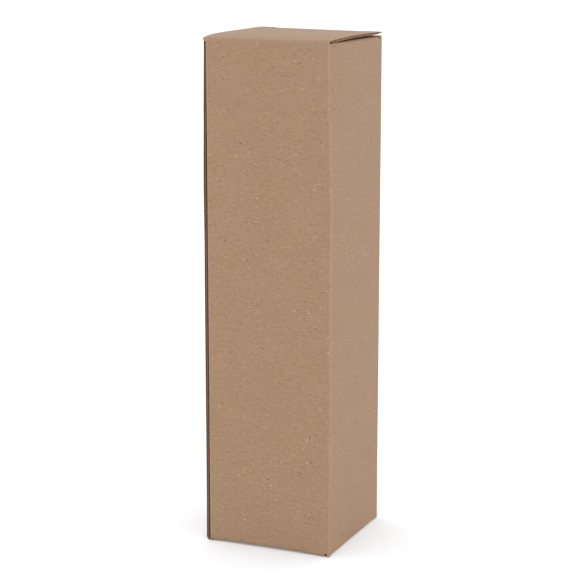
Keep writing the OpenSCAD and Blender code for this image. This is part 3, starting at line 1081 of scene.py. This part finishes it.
# Patterns in the paper: lengths in millimetres, detail, roughness and weight
THROUGH = (1, 1, 40)
PATTERNS = {
    "clouds": ((28, 15, 40), 3, 0.55, 0.14),
    "mottle": ((3.2, 2.2, 6), 3, 0.6, 0.34),
    "grain": ((0.75, 0.6, 1), 2, 0.6, 0.25),
    "long fibres": ((5.5, 0.55, 4), 2, 0.6, 0.3),
    "short fibres": ((0.6, 3.2, 4), 2, 0.6, 0.22),
}

# Light, small light and dark flecks: spacing, size, share, seed and weight
FLECKS = (
    ((4.4, 3.6, 40), 0.25, 0.42, 3.0, 0.36),
    ((2.3, 1.9, 40), 0.32, 0.32, 11.0, 0.3),
    ((3.6, 3.1, 40), 0.22, 0.34, 7.0, -0.5),
)
FLECK_CORE, FLECK_FAINTEST = 0.4, 0.35
CROWDS = (13, 11, 40)

# Painted light and shade on raised fibres: each gets a painted lit side and a painted shaded side,
# SHADE apart
SHADE = (0.5 * MM, 0.8 * MM, 0)
CURLS, CURL_WEIGHT = (2.6, 1.9, 6), 0.16
STRANDS = (((4.2, 0.75, 5), 0.32), ((0.8, 2.6, 5), 0.2))

# Bumps: the paper's own roughness, and the weight of each part
ROUGH = (0.35, 0.3, 1)
BUMP_WEIGHTS = {"rough": 0.03, "long fibres": 0.03, "mottle": 0.05, "ridge": 0.006}


def times(colour, shares):
    return [c * k for c, k in zip(colour, shares)]


def paper_tone(make, place, fleck):
    """How light or dark the paper is, with painted light and shade on its raised fibres and a
    painted highlight beside its creases, and the noises that this is made of.
    """
    tone, noises = 0.0, {}
    for name, (lengths, detail, roughness, weight) in PATTERNS.items():
        noises[name] = make.noise(place, lengths, detail, roughness)
        tone = make.mixed_in(tone, make.math("SUBTRACT", noises[name], 0.5), weight)
    crowded = make.span(make.noise(place, CROWDS, 2, 0.5), 0.35, 0.65, 0.35, 1.3)
    for *spots, weight in FLECKS:
        spots = make.math("MULTIPLY", make.flecks(place, *spots), crowded)
        tone = make.mixed_in(tone, spots, weight * fleck)
    # painted light and shade: each fibre pattern is read twice, SHADE apart, and one is taken from
    # the other, so a fibre gets a painted lit side and a painted shaded side
    sides = place, make.vector_math("ADD", place, SHADE)
    curl_lit_and_shaded = [make.noise(side, CURLS, 2, 0.55) for side in sides]
    tone = make.mixed_in(tone, make.math("SUBTRACT", *curl_lit_and_shaded), CURL_WEIGHT)
    for lengths, weight in STRANDS:
        strand_lit_and_shaded = [make.span(make.noise(side, lengths, 1, 0.5), 0.63, 0.8) for side in sides]
        sparse_strand_shading = make.math("MULTIPLY", make.math("SUBTRACT", *strand_lit_and_shaded), crowded)
        tone = make.mixed_in(tone, sparse_strand_shading, weight)
    # painted highlight beside each upright crease, flecked by the grain like scuffing
    crease_highlight_and_scuff = make.add("ShaderNodeAttribute", attribute_name="crease_highlight_and_scuff").outputs["Fac"]
    crease_highlight_tone = make.math("MULTIPLY", crease_highlight_and_scuff, make.span(noises["grain"], 0.3, 0.7, 0.08, 0.28))
    return make.math("ADD", tone, crease_highlight_tone), noises


def paper_colour(make, place, colour, value):
    """The paper's colour, which drifts a little from place to place."""
    drift = make.span(make.noise(place, PATCHES, 1, 0.5), 0.35, 0.65)
    hue = make.add("ShaderNodeMix", {"Factor": drift}, data_type="RGBA")
    make.put(hue.inputs["A"], (*times(colour, PALE), 1))
    make.put(hue.inputs["B"], (*times(colour, RICH), 1))
    tinted = make.add("ShaderNodeVectorMath", operation="SCALE")
    make.put(tinted.inputs[0], hue.outputs["Result"])
    make.put(tinted.inputs["Scale"], value)
    return tinted.outputs[0]


def paper_relief(make, place, noises, bump):
    """Bumps of the fibres, and the faint ridges of the flutes below."""
    up = make.add("ShaderNodeSeparateXYZ", {"Vector": place}).outputs["Y"]
    noises["rough"] = make.noise(place, ROUGH, 3, 0.65)
    noises["ridge"] = make.math("SINE", make.math("MULTIPLY", up, 2 * math.pi / PITCH))
    height = 0.0
    for name, weight in BUMP_WEIGHTS.items():
        height = make.mixed_in(height, noises[name], weight)
    relief = make.add("ShaderNodeBump", {"Strength": bump, "Distance": MM, "Height": height})
    return relief.outputs["Normal"]


def kraft(name, shares, tones, fleck, bump):
    """Brown unbleached paper: cloudy, fibrous and flecked."""
    material = bpy.data.materials.new(name)
    material.use_nodes = True
    make = Nodes(material)
    shader = material.node_tree.nodes["Principled BSDF"]
    place = make.add("ShaderNodeAttribute", attribute_name="sheet_place").outputs["Vector"]
    place = make.vector_math("MULTIPLY", place, THROUGH)
    tone, noises = paper_tone(make, place, fleck)
    value = make.math("ADD", make.math("MULTIPLY", tone, tones), 1.0)
    colour = paper_colour(make, place, times(KRAFT, shares), value)
    make.put(shader.inputs["Base Color"], colour)
    fill(shader, FINISH)
    make.put(shader.inputs["Normal"], paper_relief(make, place, noises, bump))
    return material


materials = [kraft(name, *paper) for name, paper in PAPERS.items()]
board = Board(sheet)
carton = make_object(board.part(CARTON), "carton_board", materials)
lid = make_object(board.part(LID), "lid_board", materials)
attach(carton, "carton")
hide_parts("carton")
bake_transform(lid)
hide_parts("lid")


# Floor and light: the floor glows faintly, as a light table does
FLOOR_REACH = 14
FLOOR_LOW = -0.05 * MM
FLOOR_FINISH = {
    "Base Color": (0.93, 0.945, 0.96, 1), "Roughness": 0.9, "Specular IOR Level": 0.1,
    "Emission Color": (1, 1, 1, 1), "Emission Strength": 0.1,
}
WORLD_FINISH = {"Color": (1, 1, 1, 1), "Strength": 1.14}
LAMP_PLACE, LAMP_TARGET = (0, -0.05, 1.0), (0, 0, 0.3)


def make_floor():
    pale = bpy.data.materials.new("pale_floor")
    pale.use_nodes = True
    fill(pale.node_tree.nodes["Principled BSDF"], FLOOR_FINISH)
    mesh = bpy.data.meshes.new("floor")
    square = ((-1, -1), (1, -1), (1, 1), (-1, 1))
    corners = [(x * FLOOR_REACH, y * FLOOR_REACH, FLOOR_LOW) for x, y in square]
    mesh.from_pydata(corners, [], [(0, 1, 2, 3)])
    mesh.materials.append(pale)
    floor = add_object("floor", mesh)


def make_light():
    world = bpy.data.worlds.new("studio")
    world.use_nodes = True
    fill(world.node_tree.nodes["Background"], WORLD_FINISH)
    bpy.context.scene.world = world
    light = bpy.data.lights.new("overhead", "AREA")
    light.shape = "RECTANGLE"
    light.size = light.size_y = 0.5
    light.energy = 0.5
    light.color = (0.6, 1.0, 1.6)
    back = (Vector(LAMP_PLACE) - Vector(LAMP_TARGET)).normalized()
    turned = back.to_track_quat("Z", "Y").to_matrix().to_4x4()
    add_object("overhead", light).matrix_world = Matrix.Translation(LAMP_PLACE) @ turned


# The view: focal length in photo pixels, and the box's middle in box heights
PHOTO = 585
FOCAL = 1775
SENSOR = 36
YAW, PITCH_DOWN, ROLL = (math.radians(a) for a in (23.47, 11.73, 0.04))
BOX_HEIGHT = 0.322
CENTRE_SEEN = Vector((0.0027, 0.0050, 3.547)) * BOX_HEIGHT


def make_camera():
    right = Vector((math.cos(YAW), math.sin(YAW), 0))
    level = Vector((-math.sin(YAW), math.cos(YAW), 0))
    ahead = math.cos(PITCH_DOWN) * level - math.sin(PITCH_DOWN) * Vector((0, 0, 1))
    up = math.sin(PITCH_DOWN) * level + math.cos(PITCH_DOWN) * Vector((0, 0, 1))
    centre = Vector((0, 0, BOX_HEIGHT / 2))
    place = centre - right * CENTRE_SEEN.x - ahead * CENTRE_SEEN.z - up * CENTRE_SEEN.y
    camera = bpy.data.cameras.new("camera")
    camera.sensor_width = SENSOR
    camera.lens = FOCAL / PHOTO * SENSOR
    camera.clip_start, camera.clip_end = 0.05, 60
    seer = add_object("camera", camera)
    turned = Matrix((right, up, -ahead)).transposed().to_4x4()
    seer.matrix_world = Matrix.Translation(place) @ turned @ Matrix.Rotation(ROLL, 4, "Z")
    bpy.context.scene.camera = seer


make_floor()
make_light()
make_camera()
bpy.context.scene.view_settings.view_transform = "Standard"
